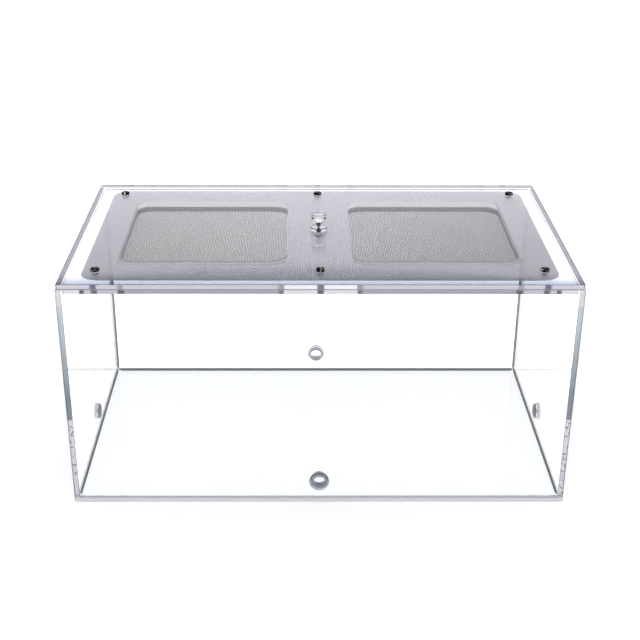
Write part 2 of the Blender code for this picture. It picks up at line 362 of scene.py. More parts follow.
def polished_material(settings, name, front_tint_and_shade, back_tint):
    """Clear cast sheet with polished faces and light handling marks.

    Its tint goes from that of the front edge to its own over the graded depth; on the lid's plates
    the front edge's tint is a painted shade, darker towards the front.
    """
    graded_depth = 0.015
    tree, place = start_material(name)
    marks = (tree.noise(place, 14.0, 4.0) - 0.5).most(0.0) * settings.smudges
    _, depth, _ = tree.parts(place)
    share = (depth - BOX_LOW.y) * (1 / graded_depth)
    # Painted shade on the plates: darker towards the front edge, over the graded depth.
    colour = tree.mixed_colour(share, Vector(front_tint_and_shade), Vector(back_tint))
    return tree.finish(Base_Color=colour, Roughness=marks, IOR=settings.refraction,
                       Transmission_Weight=1.0)


def sawn_material(settings, name, edge_colour):
    """Sawn edge of a sheet, frosted by the blade, with the given colour round it."""
    tree, place = start_material(name)
    grain = tree.noise(place, 900.0, 3.0)
    tint = edge_colour(tree, settings, place)
    colour = tree.mixed_colour(grain, tint, Vector((0.95, 0.95, 0.955)), "MULTIPLY")
    roughness = settings.edge_roughness + grain * 0.15
    return tree.finish(Base_Color=colour, Roughness=roughness, IOR=settings.refraction,
                       Specular_IOR_Level=0.1)


def floor_edge_colour(tree, settings, place):
    """Pale lilac, a little patchy."""
    tint = Vector(settings.floor_edge)
    return tree.mixed_colour(tree.noise(place, 40.0, 2.0), tint, 0.94 * tint)


def window_cut_painted_light(tree, settings, place):
    """Painted light and shade: white where the cut faces the front, grey lilac where it faces the
    back.
    """
    _, backwards, _ = tree.parts(tree.add("ShaderNodeNewGeometry").outputs["Normal"])
    lit_facing = backwards * -1.6 + 0.2
    return tree.mixed_colour(lit_facing, Vector(settings.window_cut), Vector((1.0, 0.995, 1.0)))


def wall_edge_colour(tree, settings, place):
    """Grey lilac, a little patchy."""
    tint = Vector(settings.wall_edge)
    return tree.mixed_colour(tree.noise(place, 60.0, 2.0), tint, 0.9 * tint)


def top_plate_edge_painted_reflections(tree, settings, place):
    """Painted reflections: pale along the windows, with the screws showing through the plate as
    dark marks.
    """
    return painted_reflection_segments(tree, place, (
        (0, (0.22, 0.20, 0.28)), (1.5, (0.22, 0.20, 0.28)), (2.5, (0.96, 0.94, 0.97)),
        (20, (0.96, 0.94, 0.97)), (21, (0.38, 0.36, 0.44)), (23, (0.38, 0.36, 0.44)),
        (25, (0.66, 0.63, 0.71)), (111, (0.66, 0.63, 0.71)), (112, (0.40, 0.38, 0.45)),
        (114, (0.40, 0.38, 0.45)), (115.5, (0.68, 0.65, 0.73)), (126, (0.68, 0.65, 0.73)),
        (127.2, (0.18, 0.17, 0.25)), (129.4, (0.18, 0.17, 0.25)), (131, (0.68, 0.65, 0.73)),
    ))


def lower_plate_edge_painted_reflections(tree, settings, place):
    """Painted reflections: greyer along the windows and black where the screws and the net's ends
    show.
    """
    return painted_reflection_segments(tree, place, (
        (0, (0.02, 0.02, 0.02)), (1.5, (0.02, 0.02, 0.02)), (2.2, (0.99, 0.99, 1.00)),
        (20.5, (0.99, 0.99, 1.00)), (21.2, (0.10, 0.10, 0.12)), (23, (0.10, 0.10, 0.12)),
        (24.5, (0.42, 0.42, 0.49)), (110.5, (0.42, 0.42, 0.49)), (111.5, (0.02, 0.02, 0.02)),
        (114.5, (0.02, 0.02, 0.02)), (115.3, (0.70, 0.68, 0.76)), (126, (0.70, 0.68, 0.76)),
        (127, (0.05, 0.05, 0.07)), (129.6, (0.05, 0.05, 0.07)), (130.4, (0.70, 0.68, 0.76)),
        (133.6, (0.70, 0.68, 0.76)), (134.2, (0.01, 0.01, 0.01)), (136.2, (0.01, 0.01, 0.01)),
        (137, (0.99, 0.99, 1.00)),
    ))


def painted_reflection_segments(tree, place, segments):
    """Painted reflection colours by the distance from the middle in millimetres, the same to left
    and right.
    """
    half_length = 150
    across, _, _ = tree.parts(place)
    share = abs(across) * (1000 / half_length)
    stops = tuple((distance / half_length, (*colour, 1)) for distance, colour in segments)
    return tree.add("ShaderNodeValToRGB", {"stops": stops}, share).outputs[0]


def joint_cement_and_reflection(tree, settings, place):
    """An upright joint's painted reflection of the studio, grey-blue and paler under the lid, with
    bubbly cement in its lower part.
    """
    across, _, height = tree.parts(place)
    share = (height - settings.cement_height) * (1 / (WALL_HIGH.z - settings.cement_height))
    # Painted reflection: grey-blue, graded paler upwards to white just under the lid.
    tint = tree.add("ShaderNodeValToRGB", {"stops": (
        (0.00, (*settings.joint_low, 1)),
        (0.15, (*settings.joint_low, 1)),
        (0.50, (*settings.joint_middle, 1)),
        (0.86, (*settings.joint_high, 1)),
        (0.88, (*settings.joint_top, 1)),
    )}, share)
    dark = tree.noise(place, 650.0, 4.0) > 0.57
    cement = tree.mixed_colour(dark, Vector(settings.cement_colour), Vector(settings.bubble_colour))
    above = height > settings.cement_height
    filled = tree.mixed_colour(above, cement, tint.outputs[0])
    # Darker either side of a narrow strip down the joint's middle, up to just under the lid.
    middle = (WALL_LOW.x + WALL_HIGH.x) / 2
    clear_half_width = 0.0011
    beside = abs(abs(across) - abs(middle)) > clear_half_width
    outlined = tree.mixed_colour(beside * (share < 0.87), filled, Vector((0.82, 0.83, 0.85)),
                                 "MULTIPLY")
    _, backwards, _ = tree.parts(tree.add("ShaderNodeNewGeometry").outputs["True Normal"])
    upright = abs(backwards) > 0.6
    return tree.mixed_colour(upright, wall_edge_colour(tree, settings, place), outlined)


def steel_material(settings):
    """Stainless wire, with painted shade that darkens it towards the front, and painted light that
    brightens it under the plates beside the windows.
    """
    tree, place = start_material("woven_steel")
    patches = tree.noise(place, 40.0, 3.0)
    across, depth, _ = tree.parts(place)
    # Painted shade: the wire goes from dark at the front to light at the back, with random patches.
    share = (depth - SHEET_LOW.y) * (0.5 / SHEET_HIGH.y) + (patches - 0.5) * 0.3
    front = Vector(settings.steel_front)
    back = Vector(settings.steel_back)
    window_wire = tree.mixed_colour(share, front, back)
    # Painted light: the wire under the plates is brightened.
    under_plate_painted_light = tree.mixed_colour(share, 2.2 * front, 1.7 * back)
    beside = abs(abs(across) - WINDOW_MIDDLE) > WINDOW_HALF_WIDTH
    beyond = abs(depth) > WINDOW_HALF_DEPTH
    colour = tree.mixed_colour(beside.most(beyond), window_wire, under_plate_painted_light)
    roughness = 0.34 + (patches - 0.5) * 0.2
    return tree.finish(Base_Color=colour, Roughness=roughness, Metallic=1.0)


def plated_material(settings, name, rubbed_glint_above, roughness, polish):
    """Dark bronze plating, rubbed bright where the noise goes above a level: wear, and also painted
    glints.

    The polish is how much smoother it is there.
    """
    tree, place = start_material(name)
    rubbed = tree.noise(place, 900.0, 2.0) > rubbed_glint_above
    colour = tree.mixed_colour(rubbed, Vector(settings.plating_colour),
                               Vector(settings.rubbed_colour))
    return tree.finish(Base_Color=colour, Roughness=roughness - rubbed * polish, Metallic=1.0,
                       Specular_Tint=(0.3, 0.3, 0.3, 1))


def colour_setting(name, description, default):
    """Property for a colour."""
    return bpy.props.FloatVectorProperty(name=name, description=description, subtype="COLOR",
                                         size=3, min=0, max=1, default=default)


def length_setting(name, description, least, most, default):
    """Property for a length in metres, with its limits."""
    return bpy.props.FloatProperty(name=name, description=description, subtype="DISTANCE",
                                   unit="LENGTH", min=least, max=most, default=default)


class ANTFARM_PG_acrylic(bpy.types.PropertyGroup):
    """Clear sheet of the box and lid, and the moulded clear of the bushes."""

    face_tint: colour_setting(
        "Wall tint", "Colour of light through the walls and the floor", (0.985, 0.99, 0.995))
    plate_tint: colour_setting(
        "Plate tint", "Colour of light through the lid's plates", (0.96, 0.96, 0.99))
    # Painted shade: the plates' darker tint along their front edge.
    plate_front_tint: colour_setting(
        "Plate tint, front", "Colour of light through the plates' front edge", (0.56, 0.60, 0.69))
    floor_edge: colour_setting(
        "Floor edge", "Colour of the floor's sawn edges", (0.78, 0.77, 0.84))
    wall_edge: colour_setting(
        "Wall edge", "Colour of the walls' sawn edges outside the joints", (0.62, 0.64, 0.72))
    # Painted shade of the cuts that face away from the front.
    window_cut: colour_setting(
        "Window cut", "Colour of the windows' side and front cuts", (0.50, 0.49, 0.56))
    # The upright joints' colours above the cement are a painted reflection of the studio.
    joint_top: colour_setting(
        "Joint under the lid", "Colour of an upright joint just under the lid", (0.99, 0.99, 0.99))
    joint_high: colour_setting(
        "Joint, high", "Colour of an upright joint near its top", (0.80, 0.86, 0.91))
    joint_middle: colour_setting(
        "Joint, middle", "Colour of an upright joint above its middle", (0.50, 0.57, 0.62))
    joint_low: colour_setting(
        "Joint, low", "Colour of an upright joint just above its cement", (0.18, 0.24, 0.31))
    cement_height: length_setting(
        "Cement height", "Height up to which cement whitens a joint", 0, 0.2, 0.057)
    cement_colour: colour_setting(
        "Cement", "Colour of the cement in the joints", (0.95, 0.94, 0.99))
    bubble_colour: colour_setting(
        "Bubbles", "Colour of the bubbles in the cement", (0.22, 0.22, 0.30))
    # Cement colour together with a painted reflection of the studio in the corner seams.
    bead_tint: colour_setting(
        "Bead", "Colour of the cement beads in the inner corners", (0.05, 0.085, 0.125))
    bead_width: length_setting(
        "Bead width", "How far the cement beads reach out of the corners", 0.0002, 0.004, 0.0020)
    bead_clears: length_setting(
        "Upright beads", "Height at which the upright beads turn clear", 0, 0.2, 0.066)
    bush_tint: colour_setting(
        "Bush tint", "Colour of the tube bushes' moulded plastic", (0.44, 0.45, 0.52))
    # Painted shade: the darker tint of the bushes' rims, lips and bores.
    bush_rim_tint: colour_setting(
        "Bush rims", "Colour of the tube bushes' rims, lips and bores", (0.14, 0.15, 0.20))
    refraction: bpy.props.FloatProperty(
        name="Refraction", description="Index of refraction of acrylic",
        min=1.0, max=2.0, default=1.49)
    smudges: bpy.props.FloatProperty(
        name="Smudges", description="Roughness that handling leaves on polished faces",
        subtype="FACTOR", min=0, max=1, default=0.12)
    edge_roughness: bpy.props.FloatProperty(
        name="Edge roughness", description="Roughness of the sawn edges",
        subtype="FACTOR", min=0, max=1, default=0.40)


class ANTFARM_PG_metal(bpy.types.PropertyGroup):
    """Woven mesh and screws."""

    pitch: length_setting(
        "Wire pitch", "Distance from one wire of the mesh to the next", 0.0006, 0.005, 0.0010)
    wire: length_setting(
        "Wire thickness", "Diameter of the mesh's wire", 0.0001, 0.001, 0.0003)
    # Painted shade and painted light: the wire's colours at the front and at the back.
    steel_front: colour_setting(
        "Steel, front", "Colour of the stainless wire along the front", (0.09, 0.084, 0.092))
    steel_back: colour_setting(
        "Steel, back", "Colour of the stainless wire along the back", (0.40, 0.385, 0.41))
    plating_colour: colour_setting(
        "Plating", "Colour of the screws' dark plating", (0.012, 0.010, 0.009))
    # Bright specks on the screws: wear, and also painted glints.
    rubbed_colour: colour_setting(
        "Rubbed plating", "Colour where the plating is rubbed", (0.92, 0.87, 0.80))
    thread_pitch: length_setting(
        "Thread pitch", "Rise of one turn of the screws' thread", 0.0002, 0.002, 0.0005)


class ANTFARM_PG_stage(bpy.types.PropertyGroup):
    """Camera, floor and lights."""

    camera_place: bpy.props.FloatVectorProperty(
        name="Camera place", description="Where the camera stands",
        subtype="TRANSLATION", unit="LENGTH", size=3,
        default=(-0.011293, -0.683439, 0.414476))
    camera_yaw: bpy.props.FloatProperty(
        name="Yaw", description="Turn of the camera to its right",
        subtype="ANGLE", unit="ROTATION", default=0.0066)
    camera_pitch: bpy.props.FloatProperty(
        name="Pitch", description="Tilt of the camera below the horizon",
        subtype="ANGLE", unit="ROTATION", default=0.4383)
    camera_roll: bpy.props.FloatProperty(
        name="Roll", description="Roll of the camera about its own axis",
        subtype="ANGLE", unit="ROTATION", default=0.0032)
    focal_pixels: bpy.props.FloatProperty(
        name="Focal length", description="Focal length in pixels of a 640 pixel frame",
        min=100, default=1166.7228)
    axis_pixel: bpy.props.FloatVectorProperty(
        name="Axis pixel", description="Pixel of a 640 pixel frame that the lens axis meets",
        size=2, default=(307.669, 304.495))
    floor_colour: colour_setting(
        "Floor", "Colour of the studio floor", (0.8, 0.8, 0.8))
    lamp_power: bpy.props.FloatProperty(
        name="Lamp power", description="Power of the overhead softbox",
        subtype="POWER", unit="POWER", min=0, default=7.0)
    surround: colour_setting(
        "Surround", "Even light from all round the studio", (0.98, 0.99, 1.0))


class ANTFARM_OT_stage(bpy.types.Operator):
    """Set up the camera, the pale floor and the soft light"""

    bl_idname = "antfarm.stage"
    bl_label = "Stage"

    def execute(self, context):
        settings = context.scene.antfarm_stage
        self.add_camera(context, settings)
        self.add_floor(settings)
        self.add_lamps(settings)
        self.set_world(context, settings)
        context.scene.view_settings.view_transform = "Standard"
        return {"FINISHED"}

    def add_camera(self, context, settings):
        clear_selection()
        bpy.ops.object.camera_add()
        camera = bpy.context.object
        camera.name = "camera"
        turn = Matrix.Rotation(-settings.camera_yaw, 4, "Z")
        turn @= Matrix.Rotation(math.pi / 2 - settings.camera_pitch, 4, "X")
        turn @= Matrix.Rotation(settings.camera_roll, 4, "Z")
        camera.matrix_world = Matrix.Translation(settings.camera_place) @ turn
        camera.data.sensor_fit = "HORIZONTAL"
        camera.data.sensor_width = 36.0
        camera.data.lens = 36.0 * settings.focal_pixels / PHOTO_WIDTH
        camera.data.shift_x = (PHOTO_WIDTH / 2 - settings.axis_pixel[0]) / PHOTO_WIDTH
        camera.data.shift_y = (settings.axis_pixel[1] - PHOTO_WIDTH / 2) / PHOTO_WIDTH
        camera.data.clip_start = 0.01
        context.scene.camera = camera

    def add_floor(self, settings):
        clear_selection()
        bpy.ops.mesh.primitive_circle_add(vertices=96, radius=4.0, location=(0, 0, -0.0002),
                                          fill_type="NGON")
        floor = settle(bpy.context.object)
        floor.name = "studio_floor"
        tree, place = start_material("studio_floor")
        colour = Vector(settings.floor_colour)
        specked = tree.mixed_colour(tree.noise(place, 60.0, 2.0), colour, 0.97 * colour)
        diffuse = tree.add("ShaderNodeBsdfDiffuse", None, Color=specked)
        direct, seen = studio_rays(tree)
        glow = tree.add("ShaderNodeEmission", None, Strength=seen * 0.86 - direct * 0.52)
        both = tree.add("ShaderNodeAddShader", None, diffuse.outputs[0], glow.outputs[0])
        tree.add("ShaderNodeOutputMaterial", None, both.outputs[0])
        give_materials(floor, tree.owner)

    def add_lamps(self, settings):
        lamps = (
            ("overhead_softbox", (0.0, 0.1, 1.9), 1.6, 1.0),
            ("left_softbox", (-1.7, -0.6, 0.9), 1.0, 0.4),
            ("right_softbox", (1.7, -0.4, 0.9), 1.0, 0.4),
        )
        for name, place, size, share in lamps:
            clear_selection()
            bpy.ops.object.light_add(type="AREA", location=place)
            lamp = bpy.context.object
            lamp.name = name
            lamp.data.shape = "SQUARE"
            lamp.data.size = size
            lamp.data.energy = settings.lamp_power * share
            aim = Vector((0, 0, 0.08)) - Vector(place)
            lamp.rotation_euler = aim.to_track_quat("-Z", "Y").to_euler()

    def set_world(self, context, settings):
        world = context.scene.world or bpy.data.worlds.new("studio")
        context.scene.world = world
        tree = NodeTree(world)
        _, seen = studio_rays(tree)
        even = tree.add("ShaderNodeBackground", None, (*settings.surround, 1), 1.0)
        _, _, upwards = tree.parts(tree.add("ShaderNodeTexCoord").outputs["Generated"])
        ramp = tree.add("ShaderNodeValToRGB", {"stops": (
            (0.000, (1.0, 1.0, 1.0, 1)),
            (0.300, (1.0, 1.0, 1.0, 1)),
            (0.392, (0.90, 0.89, 0.97, 1)),
            (0.400, (0.20, 0.24, 0.32, 1)),
            (0.620, (0.34, 0.38, 0.46, 1)),
            (0.760, (1.0, 1.0, 1.0, 1)),
        )}, upwards)
        backdrop = tree.add("ShaderNodeBackground", None, ramp.outputs[0], 1.0)
        mixed = tree.add("ShaderNodeMixShader", None, seen, even.outputs[0], backdrop.outputs[0])
        tree.add("ShaderNodeOutputWorld", None, mixed.outputs[0])


def studio_rays(tree):
    """Masks of the rays that show the studio directly, and of these with its mirror images."""
    light_path = tree.add("ShaderNodeLightPath")
    direct, glossy, clear = (tree.value(light_path.outputs["Is " + kind + " Ray"])
                             for kind in ("Camera", "Glossy", "Transmission"))
    return direct, direct.most(glossy).most(clear)


class ANTFARM_OT_panels(bpy.types.Operator):
    """Give the box's panels and the lid's plates polished faces and sawn edges"""

    bl_idname = "antfarm.panels"
    bl_label = "Acrylic panels"

    def execute(self, context):
        settings = context.scene.antfarm_acrylic
        wall = polished_material(settings, "polished_wall", settings.face_tint,
                                 settings.face_tint)
        plate = polished_material(settings, "polished_plate", settings.plate_front_tint,
                                  settings.plate_tint)
        cut = sawn_material(settings, "window_cut", window_cut_painted_light)
        floor_edge = sawn_material(settings, "sawn_floor", floor_edge_colour)
        long_edge = sawn_material(settings, "sawn_long_wall", wall_edge_colour)
        end_edge = sawn_material(settings, "sawn_end_wall", joint_cement_and_reflection)
        # The plates' sawn edges carry painted reflections of the windows, screws and net.
        top_edge = sawn_material(settings, "sawn_top_plate", top_plate_edge_painted_reflections)
        lower_edge = sawn_material(settings, "sawn_lower_plate", lower_plate_edge_painted_reflections)
        for node, body, axis, polished, sawn in (
            ("floor_panel", "box", 2, wall, floor_edge),
            ("front_wall", "box", 1, wall, long_edge),
            ("back_wall", "box", 1, wall, long_edge),
            ("left_wall", "box", 0, wall, end_edge),
            ("right_wall", "box", 0, wall, end_edge),
            ("lid_top_plate", "lid", 2, plate, top_edge),
            ("lid_lower_plate", "lid", 2, plate, lower_edge),
        ):
            sheet = self.sheet(node, axis, polished, sawn, cut)
            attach(sheet, body)
            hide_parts(node)
        return {"FINISHED"}

    def sheet(self, node, axis, polished, sawn, cut):
        """A merged copy of a CAD sheet: polished, sawn round its outline, cut in its windows.

        The walls' bottom edges and the end walls' back edges are clear, as cement leaves them.
        """
        pick(FRAME["nodes"][node])
        bpy.ops.object.duplicate(linked=False)
        piece = bpy.context.object
        bpy.ops.object.parent_clear(type="CLEAR_KEEP_TRANSFORM")
        del piece["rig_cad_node"]
        del piece["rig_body"]
        piece.name = node + "_sheet"
        piece.data.name = piece.name
        bpy.ops.mesh.customdata_custom_splitnormals_clear()
        recalculate_normals(piece)
        give_materials(piece, polished, sawn, cut)
        low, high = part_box(node)
        margin = 0.0005
        across = [side for side in range(3) if side != axis]

        def on_outline(centre, normal):
            under_wall = axis != 2 and normal.z < -0.9
            behind_end_wall = axis == 0 and normal.y > 0.9
            if under_wall or behind_end_wall:
                return False
            for side in across:
                inset = min(centre[side] - low[side], high[side] - centre[side])
                if abs(normal[side]) > 0.9 and inset < 0.0001:
                    return True
            return False

        def in_window(centre, normal):
            beside = abs(abs(centre.x) - WINDOW_MIDDLE) > WINDOW_HALF_WIDTH + margin
            beyond = abs(centre.y) > WINDOW_HALF_DEPTH + margin
            return abs(normal.z) < 0.5 and not beside and not beyond

        fill_slot(piece, 1, on_outline)
        if node == "lid_top_plate":
            fill_slot(piece, 2, in_window)
        smooth(piece, 30)
        return piece


class ANTFARM_OT_beads(bpy.types.Operator):
    """Run the cement beads along the box's inner corners"""

    bl_idname = "antfarm.beads"
    bl_label = "Cement beads"

    def execute(self, context):
        settings = context.scene.antfarm_acrylic
        on_floor = self.bead_material(settings, False)
        upright = self.bead_material(settings, True)
        inner_low = Vector((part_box("left_wall")[1].x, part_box("front_wall")[1].y,
                            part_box("floor_panel")[1].z))
        inner_high = Vector((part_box("right_wall")[0].x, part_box("back_wall")[0].y,
                             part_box("lid_lower_plate")[0].z - 0.0005))
        width = inner_high.x - inner_low.x
        depth = inner_high.y - inner_low.y
        height = inner_high.z - inner_low.z
        centre = (inner_low + inner_high) / 2
        runs = (
            ("back_bottom_bead", width, (0, inner_high.y, inner_low.z), "X", (-1.1, 0.45)),
            ("left_bottom_bead", depth, (inner_low.x, 0, inner_low.z), "Y", (0.5, 1.0)),
            ("right_bottom_bead", depth, (inner_high.x, 0, inner_low.z), "Y", (-0.5, 1.0)),
            ("back_left_bead", height, (inner_low.x, inner_high.y, centre.z), "Z", (0.7, -0.7)),
            ("back_right_bead", height, (inner_high.x, inner_high.y, centre.z), "Z", (-0.7, -0.7)),
        )
        for name, length, corner, along, reaches in runs:
            bead = self.bead(settings, name, length, corner, along, reaches)
            give_materials(bead, upright if along == "Z" else on_floor)
            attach(bead, "box")
        return {"FINISHED"}

    def bead(self, settings, name, length, corner, along, reaches):
        """A hollow-faced bead in the corner, which stops short of the beads at its ends.

        Each of its two reaches is a share of the bead width, with the sign of the way into
        the box.
        """
        reach = settings.bead_width
        gap = 0.00004
        end_share = {"X": 0.7, "Y": 1.1, "Z": 1.0}[along]
        clear_selection()
        bpy.ops.mesh.primitive_cube_add(size=1)
        bead = bpy.context.object
        bead.name = name
        bead.data.name = name
        size = [reach, reach, reach]
        size["XYZ".index(along)] = length - 2 * end_share * reach - 4 * gap
        bead.scale = size
        settle(bead)
        place = Vector(corner)
        inward = [0.0, 0.0, 0.0]
        narrower = [1.0, 1.0, 1.0]
        axes = [axis for axis in range(3) if "XYZ"[axis] != along]
        for axis, share in zip(axes, reaches):
            place[axis] += share * reach / 2 + math.copysign(gap, share)
            inward[axis] = math.copysign(reach / 2, share)
            narrower[axis] = abs(share)
        for edge in bead.data.edges:
            edge.select = False
        for vertex in bead.data.vertices:
            vertex.select = all(abs(vertex.co[axis] - inward[axis]) < reach / 4 for axis in axes)
        pick(bead)
        bpy.ops.object.mode_set(mode="EDIT")
        bpy.ops.mesh.bevel(offset=reach * 0.96, segments=5, profile=0.3, affect="EDGES")
        bpy.ops.object.mode_set(mode="OBJECT")
        bead.scale = narrower
        bead.location = place
        settle(bead)
        recalculate_normals(bead)
        smooth(bead, 30)
        return bead

    def bead_material(self, settings, graded):
        """Dull grey-blue, the cement's colour with a painted reflection of the studio, paler with
        height in an upright corner and then clear.
        """
        tree, place = start_material("upright_bead" if graded else "floor_bead")
        ripple = tree.noise(place, 120.0, 3.0)
        tint = Vector(settings.bead_tint)
        if graded:
            graded_height = 0.070
            fade = 0.008
            _, _, height = tree.parts(place)
            # Painted reflection: paler with height in the upright corners.
            paler = tint + Vector((0.08, 0.09, 0.10))
            palest = tint + Vector((0.20, 0.22, 0.24))
            colour = tree.mixed_colour(height * (1 / graded_height), paler, palest)
            solid = ((settings.bead_clears + fade - height) * (1 / fade)).most(0.06)
        else:
            colour = tree.mixed_colour(ripple, tint, 0.9 * tint)
            solid = 1.0
        return tree.finish(Base_Color=colour, Roughness=0.5 + ripple * 0.2,
                           Specular_IOR_Level=0.05, Alpha=solid)


class ANTFARM_OT_weave(bpy.types.Operator):
    """Weave the steel mesh from crimped wires, cut to its rounded outline"""

    bl_idname = "antfarm.weave"
    bl_label = "Woven mesh"

    def execute(self, context):
        settings = context.scene.antfarm_metal
        material = steel_material(settings)
        width = SHEET_HIGH.x - SHEET_LOW.x
        depth = SHEET_HIGH.y - SHEET_LOW.y
        height = (SHEET_LOW.z + SHEET_HIGH.z) / 2
        for name, angle, length, spread in (
            ("mesh_long_wires", 0.0, width, depth),
            ("mesh_cross_wires", math.pi / 2, depth, width),
        ):
            wires = self.crimped_wires(settings, name, length, spread, angle)
            wires.rotation_euler = (0, 0, angle)
            wires.location = (0, 0, height)
            settle(wires)
            for side, keep in (("left", -1), ("right", 1)):
                half = copy_piece(wires, name + "_" + side, (0, 0, 0))
                self.trim(half, keep, width / 2, depth / 2)
                give_materials(half, material)
                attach(half, "lid")
                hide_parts("mesh_sheet")
            bpy.data.objects.remove(wires, do_unlink=True)
        return {"FINISHED"}

    def crimped_wires(self, settings, name, length, spread, angle):
        """All the wires that run one way: one wave of one wire, repeated both ways."""
        pitch = settings.pitch
        widening = 1.5
        crimp = settings.wire / 2 if angle == 0 else -settings.wire / 2
        waves = 2 * math.ceil(length / pitch / 4) + 1
        rows = 2 * math.ceil(spread / pitch / 4) + 1
        clear_selection()
        bpy.ops.mesh.primitive_cylinder_add(vertices=3, radius=0.56 * settings.wire,
                                            depth=2 * pitch, end_fill_type="NOTHING",
                                            rotation=(0, math.pi / 2, 0))
        wire = settle(bpy.context.object)
        wire.scale = (1, widening, 1)
        settle(wire)
        wire.name = name
        edit_all(wire)
        bpy.ops.mesh.bisect(plane_co=(0, 0, 0), plane_no=(1, 0, 0))
        bpy.ops.object.mode_set(mode="OBJECT")
        for vertex in wire.data.vertices:
            vertex.select = abs(vertex.co.x) < pitch / 2
        bpy.ops.object.mode_set(mode="EDIT")
        bpy.ops.transform.translate(value=(0, 0, 2 * crimp))
        bpy.ops.mesh.select_all(action="SELECT")
        bpy.ops.transform.translate(value=(0, 0, -crimp))
        bpy.ops.object.mode_set(mode="OBJECT")
        for way, count, step in (("along", waves, (2 * pitch, 0, 0)),
                                 ("across", rows, (0, 2 * pitch, 0))):
            array = wire.modifiers.new(way, "ARRAY")
            array.count = count
            array.use_relative_offset = False
            array.use_constant_offset = True
            array.constant_offset_displace = step
            array.use_merge_vertices = way == "along"
            array.merge_threshold = settings.wire / 10
        apply_modifiers(wire)
        wire.location = (-(waves - 1) * pitch, -(rows - 1) * pitch, 0)
        settle(wire)
        between = copy_piece(wire, name + "_between", (pitch, pitch, 0))
        pick(between, wire)
        bpy.ops.object.join()
        return bpy.context.object

    def trim(self, wires, keep, half_width, half_depth):
        """Keep one side of the sheet, inside its rounded corners and clear of the screws."""
        corner = 0.010
        relief = 0.0019
        holes = [(0.0, 0.0)]
        for name in LID_SCREWS:
            low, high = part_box(name)
            holes.append(((low.x + high.x) / 2, (low.y + high.y) / 2))

        def outside(centre, normal):
            x, y, _ = centre
            beyond_x = abs(x) - (half_width - corner)
            beyond_y = abs(y) - (half_depth - corner)
            if beyond_x > 0 and beyond_y > 0:
                off_sheet = math.hypot(beyond_x, beyond_y) > corner
            else:
                off_sheet = max(beyond_x, beyond_y) > corner
            other_side = (x < 0) != (keep < 0)
            near_screw = any(math.hypot(x - a, y - b) < relief for a, b in holes)
            return off_sheet or other_side or near_screw

        select_faces(wires, outside)
        bpy.ops.mesh.delete(type="FACE")
        bpy.ops.mesh.select_all(action="SELECT")
        bpy.ops.mesh.fill_holes(sides=3)
        leave_edit_mode()
        smooth(wires, 80)


